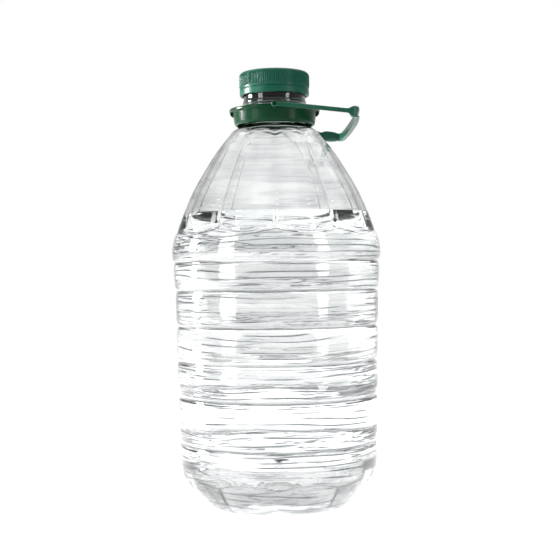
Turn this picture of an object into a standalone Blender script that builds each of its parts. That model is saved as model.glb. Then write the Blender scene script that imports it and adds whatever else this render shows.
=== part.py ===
"""Large clear water bottle with a screw cap, a swivelling collar and a bail handle.

Units are metres, +Z is up, and the origin is the middle of the base where it stands.
The bail handle lies to the +X side and the front of the bottle faces -Y.
"""

import math

import bmesh
import bpy
from mathutils import Vector

OBJECT_NAME = "water_bottle"

# Bottle: overall sizes.
MOUTH_HEIGHT = 0.3273
NECK_RADIUS = 0.0238
BASE_RADIUS = 0.0570
STANDING_RING_RADIUS = 0.0500
PUSH_UP_HEIGHT = 0.0130
WALL = 0.0010
NECK_WALL = 0.0020
NECK_WALL_FROM = 0.2860
NECK_WALL_TO = 0.2920
MOUTH_EDGE = 0.0004
MOUTH_EDGE_HEIGHT = 0.0006
NECK_FOOT = 0.2918
NECK_FLARE = ((0.2896, 0.0255), (0.2874, 0.0288), (0.2850, 0.0326))
BASE_EDGE = 0.0010
PUSH_UP_SIZES = ((0.0035, 0.0450), (0.0105, 0.0300))
TURN_STEPS = 40

# Bottle: the straight part, with V grooves between slightly barrelled rings.
GROOVE_HEIGHTS = (0.0480, 0.0829, 0.1097, 0.1361, 0.1631, 0.1845)
GROOVE_DEPTH = 0.0021
GROOVE_HALF_WIDTH = 0.0075
GROOVE_SHARPNESS = 1.6
GROOVE_SHOULDERS = (-0.8, 0.0, 0.8)
RING_SIZES = ((0.0300, 0.0765), (0.0650, 0.0772), (0.1500, 0.0782), (0.1760, 0.0792),
              (0.1940, 0.0804), (0.2086, 0.0771))

# Bottle: ten petals on the shoulder and ten on the heel, with valleys between them.
PETALS = 10
PETAL_DEPTH = 0.052
HEEL_PETAL_DEPTH = 0.030
SHOULDER_SIZES = ((0.2090, 0.0759), (0.2232, 0.0707), (0.2386, 0.0638), (0.2541, 0.0549),
                  (0.2697, 0.0448), (0.2815, 0.0352))
HEEL_SIZES = ((0.0, BASE_RADIUS), (0.0034, 0.0606), (0.0096, 0.0660), (0.0160, 0.0704),
              (0.0235, 0.0738))
SHOULDER_LINE = 0.2045
RING_CROWN_DROP = 0.0060
SHOULDER_SCALLOP = 0.0038
SHOULDER_LEDGE = 0.0026
SHOULDER_ROWS = (0.2815, 0.2760, 0.2680, 0.2560, 0.2420, 0.2270)
SCALLOP_CURVE = 1.7
PETAL_TOP = 0.2825
PETAL_TOP_SCALLOP = 0.0025
PETAL_TOP_FADE = 0.0160
TOP_SCALLOP_FROM = 0.2550
TOP_SCALLOP_TO = 0.2820
HEEL_LINE = 0.0235
HEEL_SCALLOP = 0.0037
HEEL_LEDGE = 0.0016
HEEL_LEDGE_STEP = 0.0016
HEEL_ROWS = (0.0150, 0.0080, 0.0025)

# Water.
WATER_LEVEL = 0.2215
CLEARANCE = 0.0003

# Cap with its tamper band.
CAP_TOP = 0.3300
CAP_RADIUS = 0.0271
CAP_EDGE = 0.0027
CAP_BOTTOM = 0.3120
CAP_BORE = 0.0249
CAP_ROOF = 0.0023
BAND_TOP = 0.3169
BAND_RADIUS = 0.0267
BAND_TOP_EDGE = 0.0003
BAND_FOOT_EDGE = 0.0006
SLIT_HEIGHT = 0.0004
SLIT_DEPTH = 0.0007
CAP_STEPS = 48

# Collar.
LIP_TOP = 0.3019
LIP_BOTTOM = 0.2993
LIP_RADIUS = 0.0348
COLLAR_BORE = 0.0244
COLLAR_BOTTOM = 0.2892
COLLAR_TOP_RADIUS = 0.0321
COLLAR_FOOT_RADIUS = 0.0312
COLLAR_WALL = 0.0017
COLLAR_STEPS = 40
COLLAR_HEM = ((0.0000, 0.0026), (0.0006, 0.0008), (0.0016, 0.0000), (0.0021, 0.0004))
LIP_EDGE = 0.0005
LIP_UNDERSIDE = 0.0016
SLEEVE_BOTTOM = 0.2936
GUSSET_THICKNESS = 0.0012
GUSSET_DROP = 0.0040
GUSSET_SETBACK = 0.0004
GUSSET_ROOT = 0.0010
GUSSETS = 4
GUSSET_SWEEP = 75.0

# Hinge between the collar and the handle: a headed pin at the front and one at the back.
PIVOT_HEIGHT = 0.3012
BOSS_RADIUS = 0.0021
BOSS_START = 0.0310
BOSS_END = 0.0350
PIN_ROOT = 0.0010
BORE_OVERRUN = 0.0030
PIN_RADIUS = 0.0010
PIN_END = 0.0390
PIN_HEAD_RADIUS = 0.0017
PIN_HEAD_LENGTH = 0.0008
EYE_RADIUS = 0.0022
EYE_BORE = 0.0013
EYE_START = 0.0353
EYE_END = 0.0379

# Handle: the middle line from the front eye, round the grip, to the back eye.
HANDLE_ROUTE = (
    (0.0010, -0.0366, 0.3012),
    (0.0120, -0.0376, 0.3000),
    (0.0300, -0.0415, 0.2975),
    (0.0490, -0.0458, 0.2947),
    (0.0570, -0.0464, 0.2936),
    (0.0606, -0.0420, 0.2924),
    (0.0606, -0.0250, 0.2902),
    (0.0592, 0.0000, 0.2884),
    (0.0566, 0.0250, 0.2861),
    (0.0538, 0.0420, 0.2850),
    (0.0500, 0.0464, 0.2856),
    (0.0400, 0.0466, 0.2868),
    (0.0310, 0.0446, 0.2902),
    (0.0140, 0.0390, 0.2966),
    (0.0010, 0.0366, 0.3012),
)
ARM_HEIGHT = 0.0031
ARM_DEPTH = 0.0026
END_HEIGHT = 0.0079
END_DEPTH = 0.0044
GRIP_HEIGHT = 0.0062
GRIP_DEPTH = 0.0034
GRIP_WEB = 0.0016
GRIP_RIM = 0.0012
GRIP_FROM = 0.268
GRIP_TO = 0.800
GRIP_BLEND = 0.025
WAIST_WAIT = 0.050
WAIST_BLEND = 0.050
ARM_SOFTNESS = 0.0005
ARM_WEB = 0.0003
ROUTE_STATIONS = 36

# Finishes.
CLEAR_PET = (0.86, 0.90, 0.91, 0.25)
WATER_TINT = (0.78, 0.88, 0.90, 0.35)
GREEN = (0.012, 0.19, 0.125, 1.0)
DARK_GREEN = (0.010, 0.15, 0.10, 1.0)
PET_IOR = 1.57
PET_ROUGHNESS = 0.04
WATER_IOR = 1.333
PLASTIC_IOR = 1.46
GREEN_ROUGHNESS = 0.35
DARK_GREEN_ROUGHNESS = 0.38

# Fineness of the meshes.
SMOOTH_ANGLE = 40.0
ROD_SIDES = 16
FILLET_STEPS = 4
TANGENT_STEP = 0.005
MERGE_DISTANCE = 0.00001
WELD_DISTANCE = 0.000001
PIVOT_MARK = 0.01


def start_empty():
    """Remove every object, so that the model is alone in the file."""
    for item in list(bpy.data.objects):
        bpy.data.objects.remove(item, do_unlink=True)


def new_collection(name):
    """Add a collection to the scene."""
    collection = bpy.data.collections.new(name)
    bpy.context.scene.collection.children.link(collection)
    return collection


def principled(name, colour, roughness, transmission=0.0, ior=PLASTIC_IOR):
    """Make a material with one Principled BSDF."""
    material = bpy.data.materials.new(name)
    material.use_nodes = True
    shader = material.node_tree.nodes["Principled BSDF"]
    shader.inputs["Base Color"].default_value = colour[:3] + (1.0,)
    shader.inputs["Roughness"].default_value = roughness
    shader.inputs["Metallic"].default_value = 0.0
    shader.inputs["Transmission Weight"].default_value = transmission
    shader.inputs["IOR"].default_value = ior
    material.diffuse_color = colour
    return material


def add_object(name, mesh, collection, material=None):
    """Link a mesh as an object and shade it smooth, with its sharper edges kept."""
    body = bpy.data.objects.new(name, mesh)
    collection.objects.link(body)
    if material is not None:
        mesh.materials.append(material)
    mesh.shade_smooth()
    mesh.set_sharp_from_angle(angle=math.radians(SMOOTH_ANGLE))
    return body


def baked_mesh(source):
    """Return the evaluated mesh of an object and remove the object."""
    bpy.context.view_layer.update()
    graph = bpy.context.evaluated_depsgraph_get()
    mesh = bpy.data.meshes.new_from_object(source.evaluated_get(graph))
    bpy.data.objects.remove(source, do_unlink=True)
    return mesh


def turned_mesh(name, outline, steps, closed=False):
    """Turn an outline of (radius, height) points about Z."""
    mesh = bpy.data.meshes.new(name)
    points = [(radius, 0.0, height) for radius, height in outline]
    edges = [(index, index + 1) for index in range(len(points) - 1)]
    if closed:
        edges.append((len(points) - 1, 0))
    mesh.from_pydata(points, edges, [])
    turned = bpy.data.objects.new(name, mesh)
    bpy.context.scene.collection.objects.link(turned)
    screw = turned.modifiers.new("turn", "SCREW")
    screw.axis = "Z"
    screw.angle = math.tau
    screw.steps = steps
    screw.render_steps = steps
    screw.use_merge_vertices = True
    screw.merge_threshold = MERGE_DISTANCE
    return baked_mesh(turned)


def fillet(centre, radius, start_deg, end_deg, count):
    """List the points of an arc in the (radius, height) plane."""
    points = []
    for step in range(count + 1):
        angle = math.radians(start_deg + (end_deg - start_deg) * step / count)
        points.append((centre[0] + radius * math.cos(angle), centre[1] + radius * math.sin(angle)))
    return points


def smooth_step(low, high, value):
    """Rise smoothly from 0 at low to 1 at high."""
    share = min(1.0, max(0.0, (value - low) / (high - low)))
    return share * share * (3.0 - 2.0 * share)


def curve_at(sizes, height):
    """Read a radius from (height, radius) pairs joined by a smooth curve."""
    if height <= sizes[0][0]:
        return sizes[0][1]
    if height >= sizes[-1][0]:
        return sizes[-1][1]
    slopes = []
    for index in range(len(sizes)):
        before = sizes[max(0, index - 1)]
        after = sizes[min(len(sizes) - 1, index + 1)]
        slopes.append((after[1] - before[1]) / (after[0] - before[0]))
    for index in range(len(sizes) - 1):
        low, high = sizes[index], sizes[index + 1]
        if height <= high[0]:
            span = high[0] - low[0]
            share = (height - low[0]) / span
            rise = 3.0 * share ** 2 - 2.0 * share ** 3
            lead = (share ** 3 - 2.0 * share ** 2 + share) * span * slopes[index]
            trail = (share ** 3 - share ** 2) * span * slopes[index + 1]
            return low[1] * (1.0 - rise) + high[1] * rise + lead + trail
    return sizes[-1][1]


def ring_radius(height):
    """Outer radius of the straight part, grooves included."""
    radius = curve_at(RING_SIZES, height)
    for groove in GROOVE_HEIGHTS:
        away = abs(height - groove) / GROOVE_HALF_WIDTH
        if away < 1.0:
            radius -= GROOVE_DEPTH * (1.0 - away) ** GROOVE_SHARPNESS
    return radius


def across_petal(angle):
    """Return 0 on the middle of a petal and 1 in the valley beside it; one valley faces the front."""
    share = ((angle / math.tau + 0.25) * PETALS) % 1.0
    return abs(2.0 * share - 1.0)


def shoulder_line(across):
    """Height of the scalloped edge between the top ring and the petals."""
    return SHOULDER_LINE + SHOULDER_SCALLOP * across ** SCALLOP_CURVE


def heel_line(across):
    """Height of the scalloped edge above the heel's petals."""
    return HEEL_LINE - HEEL_SCALLOP * across ** SCALLOP_CURVE


def shoulder_radius(height, across):
    """Outer radius of the shoulder's petals."""
    level = height + PETAL_TOP_SCALLOP * across ** 2
    fade = 1.0 - smooth_step(PETAL_TOP - PETAL_TOP_FADE, PETAL_TOP, level)
    return curve_at(SHOULDER_SIZES, height) * (1.0 - PETAL_DEPTH * fade * across ** 2)


def heel_radius(height, across):
    """Outer radius of the heel's petals."""
    return curve_at(HEEL_SIZES, height) * (1.0 - HEEL_PETAL_DEPTH * across ** 2)


def ring_rows():
    """List the straight part's heights: the bottom and the two sides of each groove."""
    rows = [RING_SIZES[0][0], SHOULDER_LINE - RING_CROWN_DROP]
    for groove in GROOVE_HEIGHTS:
        for offset in GROOVE_SHOULDERS:
            rows.append(groove + offset * GROOVE_HALF_WIDTH)
    return sorted(rows)


def bottle_rows():
    """List the outer surface's rows from the mouth down to the middle of the underside."""
    rows = [("neck", MOUTH_HEIGHT, NECK_RADIUS - MOUTH_EDGE)]
    rows.append(("neck", MOUTH_HEIGHT - MOUTH_EDGE_HEIGHT, NECK_RADIUS))
    rows.append(("neck", NECK_FOOT, NECK_RADIUS))
    for height, radius in NECK_FLARE:
        rows.append(("neck", height, radius))
    for height in SHOULDER_ROWS:
        rows.append(("shoulder", height, 0.0))
    rows.append(("shoulder_foot", 0.0, 0.0))
    rows.append(("shoulder_edge", 0.0, 0.0))
    for height in reversed(ring_rows()):
        rows.append(("ring", height, 0.0))
    rows.append(("heel_edge", 0.0, 0.0))
    rows.append(("heel_head", 0.0, 0.0))
    for height in HEEL_ROWS:
        rows.append(("heel", height, 0.0))
    rows.append(("under", 0.0, BASE_RADIUS - BASE_EDGE))
    rows.append(("under", 0.0, STANDING_RING_RADIUS))
    for height, radius in PUSH_UP_SIZES:
        rows.append(("under", height, radius))
    rows.append(("under", PUSH_UP_HEIGHT, 0.0))
    return rows


def bottle_point(row, across):
    """Return the radius and height of the outer surface on a row."""
    kind, height, radius = row
    if kind == "shoulder":
        share = smooth_step(TOP_SCALLOP_FROM, TOP_SCALLOP_TO, height)
        height -= PETAL_TOP_SCALLOP * across ** 2 * share
        return shoulder_radius(height, across), height
    if kind == "shoulder_foot":
        height = shoulder_line(across) + SHOULDER_LEDGE
        return shoulder_radius(height, across), height
    if kind == "shoulder_edge":
        height = shoulder_line(across)
        return ring_radius(height), height
    if kind == "heel_edge":
        height = heel_line(across) + HEEL_LEDGE
        return ring_radius(height) - HEEL_LEDGE_STEP, height
    if kind == "heel_head":
        height = heel_line(across)
        return heel_radius(height, across), height
    if kind == "heel":
        return heel_radius(height, across), height
    if kind == "ring":
        return ring_radius(height), height
    return radius, height


def bottle_surface():
    """Make the bottle's open outer surface: turned, then pressed into petals."""
    rows = bottle_rows()
    outline = [bottle_point(row, 0.0) for row in rows]
    mesh = turned_mesh("bottle_surface", outline, TURN_STEPS)
    for vertex in mesh.vertices:
        place = (math.hypot(vertex.co.x, vertex.co.y), vertex.co.z)
        row = min(zip(rows, outline), key=lambda pair: math.dist(pair[1], place))[0]
        angle = math.atan2(vertex.co.y, vertex.co.x)
        radius, height = bottle_point(row, across_petal(angle))
        vertex.co = (radius * math.cos(angle), radius * math.sin(angle), height)
    work = bmesh.new()
    work.from_mesh(mesh)
    bmesh.ops.triangulate(work, faces=list(work.faces))
    work.to_mesh(mesh)
    work.free()
    return mesh


def build_bottle(collection, material):
    """Give the outer surface its wall, thicker at the neck."""
    body = add_object("bottle", bottle_surface(), collection, material)
    thick = body.vertex_groups.new(name="wall")
    for vertex in body.data.vertices:
        share = smooth_step(NECK_WALL_FROM, NECK_WALL_TO, vertex.co.z)
        thick.add([vertex.index], (WALL + (NECK_WALL - WALL) * share) / NECK_WALL, "REPLACE")
    wall = body.modifiers.new("wall", "SOLIDIFY")
    wall.thickness = NECK_WALL
    wall.offset = -1.0
    wall.vertex_group = thick.name
    return body


def build_water(collection, material):
    """Fill the bottle up to the water level, just clear of its wall."""
    shell = add_object("water", bottle_surface(), collection)
    outer_count = len(shell.data.vertices)
    inset = shell.modifiers.new("inset", "SOLIDIFY")
    inset.thickness = WALL + CLEARANCE
    inset.offset = -1.0
    inset.use_rim = False
    mesh = baked_mesh(shell)
    work = bmesh.new()
    work.from_mesh(mesh)
    work.verts.ensure_lookup_table()
    bmesh.ops.delete(work, geom=work.verts[:outer_count], context="VERTS")
    everything = list(work.verts) + list(work.edges) + list(work.faces)
    bmesh.ops.bisect_plane(work, geom=everything, dist=MERGE_DISTANCE, plane_co=(0.0, 0.0, WATER_LEVEL),
                           plane_no=(0.0, 0.0, 1.0), clear_outer=True)
    rim = [edge for edge in work.edges if edge.is_boundary]
    bmesh.ops.holes_fill(work, edges=rim, sides=0)
    bmesh.ops.recalc_face_normals(work, faces=list(work.faces))
    bmesh.ops.triangulate(work, faces=list(work.faces))
    work.to_mesh(mesh)
    work.free()
    return add_object("water", mesh, collection, material)


def build_cap(collection, material):
    """Turn the cap: knurl zone, slit, tamper band and bore."""
    edge_centre = (CAP_RADIUS - CAP_EDGE, CAP_TOP - CAP_EDGE)
    outline = [(0.0, CAP_TOP)]
    outline += fillet(edge_centre, CAP_EDGE, 90.0, 0.0, FILLET_STEPS)
    outline += [
        (CAP_RADIUS, BAND_TOP + SLIT_HEIGHT + BAND_TOP_EDGE),
        (BAND_RADIUS - SLIT_DEPTH, BAND_TOP + SLIT_HEIGHT),
        (BAND_RADIUS - SLIT_DEPTH, BAND_TOP),
        (BAND_RADIUS, BAND_TOP - BAND_TOP_EDGE),
        (BAND_RADIUS, CAP_BOTTOM + BAND_FOOT_EDGE),
        (BAND_RADIUS - BAND_FOOT_EDGE, CAP_BOTTOM),
        (CAP_BORE, CAP_BOTTOM),
        (CAP_BORE, CAP_TOP - CAP_ROOF),
        (0.0, CAP_TOP - CAP_ROOF),
    ]
    return add_object("cap", turned_mesh("cap", outline, CAP_STEPS), collection, material)


def add_cylinder(name, radius, start, end, height, collection):
    """Add a cylinder along Y, between two Y places, as a tool for a Boolean."""
    work = bmesh.new()
    bmesh.ops.create_cone(work, cap_ends=True, segments=ROD_SIDES, radius1=radius, radius2=radius,
                          depth=abs(end - start))
    for vertex in work.verts:
        place = vertex.co.copy()
        vertex.co = (place.x, place.z + (start + end) / 2.0, -place.y + height)
    bmesh.ops.recalc_face_normals(work, faces=list(work.faces))
    mesh = bpy.data.meshes.new(name)
    work.to_mesh(mesh)
    work.free()
    tool = bpy.data.objects.new(name, mesh)
    collection.objects.link(tool)
    return tool


def add_gusset(index, collection):
    """Add one fin under the collar's lip, as a tool for a Boolean."""
    curve = bpy.data.curves.new("gusset", "CURVE")
    curve.dimensions = "2D"
    curve.fill_mode = "BOTH"
    curve.extrude = GUSSET_THICKNESS / 2.0
    middle = (LIP_BOTTOM + LIP_TOP) / 2.0
    reach = LIP_RADIUS - GUSSET_SETBACK
    root = COLLAR_TOP_RADIUS - GUSSET_ROOT
    outline = [(root, middle), (reach, middle)]
    outline += fillet((root, LIP_BOTTOM), reach - root, 0.0, -GUSSET_SWEEP, FILLET_STEPS)
    outline += [(root, LIP_BOTTOM - GUSSET_DROP)]
    spline = curve.splines.new("POLY")
    spline.points.add(len(outline) - 1)
    for point, (radius, height) in zip(spline.points, outline):
        point.co = (radius, height, 0.0, 1.0)
    spline.use_cyclic_u = True
    flat = bpy.data.objects.new("gusset", curve)
    bpy.context.scene.collection.objects.link(flat)
    mesh = baked_mesh(flat)
    turn = math.tau * index / GUSSETS
    for vertex in mesh.vertices:
        radius, height, side = vertex.co
        vertex.co = (radius * math.cos(turn) + side * math.sin(turn),
                     radius * math.sin(turn) - side * math.cos(turn), height)
    work = bmesh.new()
    work.from_mesh(mesh)
    bmesh.ops.remove_doubles(work, verts=list(work.verts), dist=WELD_DISTANCE)
    bmesh.ops.recalc_face_normals(work, faces=list(work.faces))
    work.to_mesh(mesh)
    work.free()
    tool = bpy.data.objects.new("gusset_%d" % index, mesh)
    collection.objects.link(tool)
    return tool


def combine(body, tools, operation):
    """Join tools to a body, or cut them from it, one after another."""
    for tool in tools:
        tool.hide_render = True
        tool.display_type = "WIRE"
        step = body.modifiers.new(tool.name, "BOOLEAN")
        step.object = tool
        step.operation = operation
        step.solver = "EXACT"


def build_collar(collection, cutters, material):
    """Turn the collar, then join its fins, bosses and headed pins."""
    outline = [
        (COLLAR_BORE, LIP_TOP),
        (LIP_RADIUS - LIP_EDGE, LIP_TOP),
        (LIP_RADIUS, LIP_TOP - LIP_EDGE),
        (LIP_RADIUS, LIP_BOTTOM + LIP_EDGE),
        (LIP_RADIUS - LIP_EDGE, LIP_BOTTOM),
        (COLLAR_TOP_RADIUS, LIP_BOTTOM),
    ]
    outline += [(COLLAR_FOOT_RADIUS - inward, COLLAR_BOTTOM + rise) for inward, rise in COLLAR_HEM]
    outline += [
        (COLLAR_FOOT_RADIUS - COLLAR_WALL, COLLAR_BOTTOM + COLLAR_HEM[0][1]),
        (COLLAR_TOP_RADIUS - COLLAR_WALL, LIP_BOTTOM - LIP_UNDERSIDE),
        (COLLAR_BORE + COLLAR_WALL, LIP_BOTTOM - LIP_UNDERSIDE),
        (COLLAR_BORE + COLLAR_WALL, SLEEVE_BOTTOM),
        (COLLAR_BORE, SLEEVE_BOTTOM),
    ]
    turned = turned_mesh("collar", outline, COLLAR_STEPS, closed=True)
    body = add_object("collar", turned, collection, material)
    tools = [add_gusset(index, cutters) for index in range(GUSSETS)]
    for end, sign in (("front", -1.0), ("back", 1.0)):
        spans = (("boss_", BOSS_RADIUS, BOSS_START, BOSS_END),
                 ("pin_", PIN_RADIUS, BOSS_END - PIN_ROOT, PIN_END),
                 ("pin_head_", PIN_HEAD_RADIUS, PIN_END - PIN_HEAD_LENGTH, PIN_END))
        for name, radius, near, far in spans:
            tools.append(add_cylinder(name + end, radius, sign * near, sign * far, PIVOT_HEIGHT, cutters))
    combine(body, tools, "UNION")
    return body


def route_point(share):
    """Read the handle's middle line, a smooth curve through its route points."""
    spans = len(HANDLE_ROUTE) - 1
    place = min(max(share, 0.0), 1.0) * spans
    index = min(int(place), spans - 1)
    part = place - index
    near = [Vector(HANDLE_ROUTE[min(max(index + step, 0), spans)]) for step in (-1, 0, 1, 2)]
    first = near[1] * 2.0
    second = (near[2] - near[0]) * part
    third = (near[0] * 2.0 - near[1] * 5.0 + near[2] * 4.0 - near[3]) * part ** 2
    fourth = (near[1] * 3.0 - near[0] - near[2] * 3.0 + near[3]) * part ** 3
    return (first + second + third + fourth) * 0.5


def grip_share(share):
    """Return 0 on the thin arms and 1 on the wide grip."""
    rise = smooth_step(GRIP_FROM - GRIP_BLEND, GRIP_FROM + GRIP_BLEND, share)
    fall = smooth_step(GRIP_TO - GRIP_BLEND, GRIP_TO + GRIP_BLEND, share)
    return rise * (1.0 - fall)


def waist_share(share):
    """Return 0 at the grip's thick ends and 1 on the slimmer channel between them."""
    first = GRIP_FROM + WAIST_WAIT
    last = GRIP_TO - WAIST_WAIT
    rise = smooth_step(first, first + WAIST_BLEND, share)
    fall = smooth_step(last - WAIST_BLEND, last, share)
    return rise * (1.0 - fall)


def handle_section(share):
    """List the section's (outward, up) points: a slim arm, a thick end, then a channel."""
    wide = grip_share(share)
    waist = waist_share(share)
    height = END_HEIGHT + (GRIP_HEIGHT - END_HEIGHT) * waist
    depth = END_DEPTH + (GRIP_DEPTH - END_DEPTH) * waist
    tall = (ARM_HEIGHT + (height - ARM_HEIGHT) * wide) / 2.0
    deep = (ARM_DEPTH + (depth - ARM_DEPTH) * wide) / 2.0
    soft = ARM_SOFTNESS
    web = deep - (ARM_WEB + (depth - GRIP_WEB - ARM_WEB) * wide * waist)
    rim = tall - (soft + (GRIP_RIM - soft) * wide)
    return [(-deep, -tall + soft), (-deep + soft, -tall), (deep, -tall), (deep, -rim), (web, -rim),
            (web, rim), (deep, rim), (deep, tall), (-deep + soft, tall), (-deep, tall - soft)]


def build_handle(collection, cutters, material):
    """Loft the bail along its route, join the two eyes and bore them for the pins."""
    work = bmesh.new()
    rings = []
    for station in range(ROUTE_STATIONS + 1):
        share = station / ROUTE_STATIONS
        middle = route_point(share)
        ahead = (route_point(share + TANGENT_STEP) - route_point(share - TANGENT_STEP)).normalized()
        outward = ahead.cross(Vector((0.0, 0.0, 1.0))).normalized()
        up = outward.cross(ahead)
        rings.append([work.verts.new(middle + outward * out + up * rise)
                      for out, rise in handle_section(share)])
    for first, second in zip(rings, rings[1:]):
        for corner in range(len(first)):
            following = (corner + 1) % len(first)
            work.faces.new((first[corner], first[following], second[following], second[corner]))
    work.faces.new(rings[0])
    work.faces.new(rings[-1])
    bmesh.ops.recalc_face_normals(work, faces=list(work.faces))
    bmesh.ops.triangulate(work, faces=list(work.faces))
    mesh = bpy.data.meshes.new("handle")
    work.to_mesh(mesh)
    work.free()
    body = add_object("handle", mesh, collection, material)
    eyes = []
    bores = []
    for end, sign in (("front", -1.0), ("back", 1.0)):
        eyes.append(add_cylinder("eye_" + end, EYE_RADIUS, sign * EYE_START, sign * EYE_END,
                                 PIVOT_HEIGHT, cutters))
        bores.append(add_cylinder("eye_bore_" + end, EYE_BORE, sign * (EYE_START - BORE_OVERRUN),
                                  sign * (EYE_END + BORE_OVERRUN), PIVOT_HEIGHT, cutters))
    combine(body, eyes, "UNION")
    combine(body, bores, "DIFFERENCE")
    return body


def hang_on(body, name, place, collection):
    """Parent a moving piece to an empty on its joint axis."""
    pivot = bpy.data.objects.new(name, None)
    pivot.empty_display_size = PIVOT_MARK
    pivot.location = place
    collection.objects.link(pivot)
    body.parent = pivot
    body.location = (-place[0], -place[1], -place[2])
    return pivot


def main():
    """Build every piece of the bottle."""
    start_empty()
    pieces = new_collection(OBJECT_NAME)
    cutters = new_collection("cutters")
    clear = principled("clear_pet", CLEAR_PET, PET_ROUGHNESS, transmission=1.0, ior=PET_IOR)
    water = principled("water", WATER_TINT, 0.0, transmission=1.0, ior=WATER_IOR)
    green = principled("green_plastic", GREEN, GREEN_ROUGHNESS)
    dark_green = principled("handle_green", DARK_GREEN, DARK_GREEN_ROUGHNESS)
    build_bottle(pieces, clear)
    build_water(pieces, water)
    build_cap(pieces, green)
    collar = build_collar(pieces, cutters, green)
    handle = build_handle(pieces, cutters, dark_green)
    swivel = hang_on(collar, "collar_swivel", (0.0, 0.0, LIP_BOTTOM), pieces)
    hinge = hang_on(handle, "handle_hinge", (0.0, 0.0, PIVOT_HEIGHT), pieces)
    hinge.parent = swivel
    hinge.location = (0.0, 0.0, PIVOT_HEIGHT - LIP_BOTTOM)


main()
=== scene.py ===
"""Dresses a large clear ribbed water bottle: shell, water, cap, collar, carrying bail and studio."""
import logging
import math
from dataclasses import asdict, dataclass
from enum import Enum

import bmesh
import bpy
import numpy as np
from mathutils import Matrix, Vector


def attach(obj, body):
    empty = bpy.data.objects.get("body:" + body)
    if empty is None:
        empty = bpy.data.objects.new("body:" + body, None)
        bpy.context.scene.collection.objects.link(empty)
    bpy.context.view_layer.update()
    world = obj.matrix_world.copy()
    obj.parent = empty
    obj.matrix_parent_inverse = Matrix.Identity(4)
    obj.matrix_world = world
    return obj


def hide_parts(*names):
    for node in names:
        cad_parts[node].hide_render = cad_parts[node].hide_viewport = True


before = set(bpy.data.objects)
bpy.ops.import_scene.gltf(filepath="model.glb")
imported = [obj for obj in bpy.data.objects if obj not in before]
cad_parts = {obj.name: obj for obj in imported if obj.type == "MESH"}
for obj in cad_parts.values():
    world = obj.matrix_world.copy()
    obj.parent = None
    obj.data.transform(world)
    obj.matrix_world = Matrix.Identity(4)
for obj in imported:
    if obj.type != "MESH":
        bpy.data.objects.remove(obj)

LOG = logging.getLogger("water_bottle")
BEVEL = 0.3
NOTCH_REACH = 0.4
CLOUD_DETAIL, SKIN_DETAIL, WAVE_DETAIL = 3.0, 2.0, 1.0
RIPPLE_SHARE = 0.25
GLOSS_SHARE = 0.01
CLUSTER_FROM, CLUSTER_TO, CLUSTER_LOW = 0.42, 0.58, 0.12

Pair = tuple[float, float]
Triple = tuple[float, float, float]
Work, Ring = bmesh.types.BMesh, list[bmesh.types.BMVert]
Mesh, Material, Object = bpy.types.Mesh, bpy.types.Material, bpy.types.Object
Tree, Node, Socket = bpy.types.NodeTree, bpy.types.Node, bpy.types.NodeSocket
Source = Socket | Material | float | Triple
Sockets = dict[str, tuple[str, ...]]


class Slot(Enum):
    """Material slots of the record."""

    CLEAR = "clear_plastic"
    WATER = "water"
    GREEN = "green_plastic"


class Body(Enum):
    """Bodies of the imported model."""

    VESSEL = "vessel"
    COLLAR = "collar"
    BAIL = "bail"


# ---- shared mesh helpers


def smooth_step(low: float, high: float, value: np.ndarray | float) -> np.ndarray:
    """Rise smoothly from 0 at low to 1 at high."""
    share = np.clip((np.asarray(value, dtype=float) - low) / (high - low), 0.0, 1.0)
    return share * share * (3.0 - 2.0 * share)


def inner_steps(count: int) -> list[float]:
    """List the even steps from 0 to 1, with both ends left out."""
    return [step / count for step in range(1, count)]


def curve_at(sizes: tuple[Pair, ...], heights: np.ndarray) -> np.ndarray:
    """Read radii from (height, radius) pairs joined by a smooth curve.

    Args:
        sizes: Pairs sorted by height.
        heights: Heights to read.

    Returns:
        The radius at each height, held level past both ends.
    """
    places, radii = np.array(sizes).T
    across, along = (np.pad(row, 1, "edge") for row in (radii, places))
    slopes = (across[2:] - across[:-2]) / (along[2:] - along[:-2])
    held = np.clip(heights, places[0], places[-1])
    index = np.clip(np.searchsorted(places, held, side="right") - 1, 0, len(sizes) - 2)
    span = places[index + 1] - places[index]
    share = (held - places[index]) / span
    rise = 3.0 * share ** 2 - 2.0 * share ** 3
    lead = (share ** 3 - 2.0 * share ** 2 + share) * span * slopes[index]
    trail = (share ** 3 - share ** 2) * span * slopes[index + 1]
    return radii[index] * (1.0 - rise) + radii[index + 1] * rise + lead + trail


def arc(centre: Pair, radius: float, start: float, end: float, count: int) -> list[Pair]:
    """List the points of an arc, in degrees, in the (radius, height) plane."""
    angles = [math.radians(start + (end - start) * step / count) for step in range(count + 1)]
    return [(centre[0] + radius * math.cos(a), centre[1] + radius * math.sin(a)) for a in angles]


def new_piece(name: str, shape: Work | Mesh, material: Material, sharp: float = 50.0) -> Object:
    """Link a shape as a smooth piece with one material.

    Args:
        name: The piece's name.
        shape: Its mesh, or a work mesh, which has its faces turned outwards and is freed.
        material: Its finish.
        sharp: Angle in degrees past which an edge stays sharp.

    Returns:
        The new object, at the origin.
    """
    mesh = shape
    if isinstance(shape, Work):
        mesh = bpy.data.meshes.new(name)
        bmesh.ops.recalc_face_normals(shape, faces=list(shape.faces))
        shape.to_mesh(mesh)
        shape.free()
    piece = bpy.data.objects.new(name, mesh)
    bpy.context.scene.collection.objects.link(piece)
    mesh.materials.clear()
    mesh.materials.append(material)
    mesh.shade_smooth()
    mesh.set_sharp_from_angle(angle=math.radians(sharp))
    return piece


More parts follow.
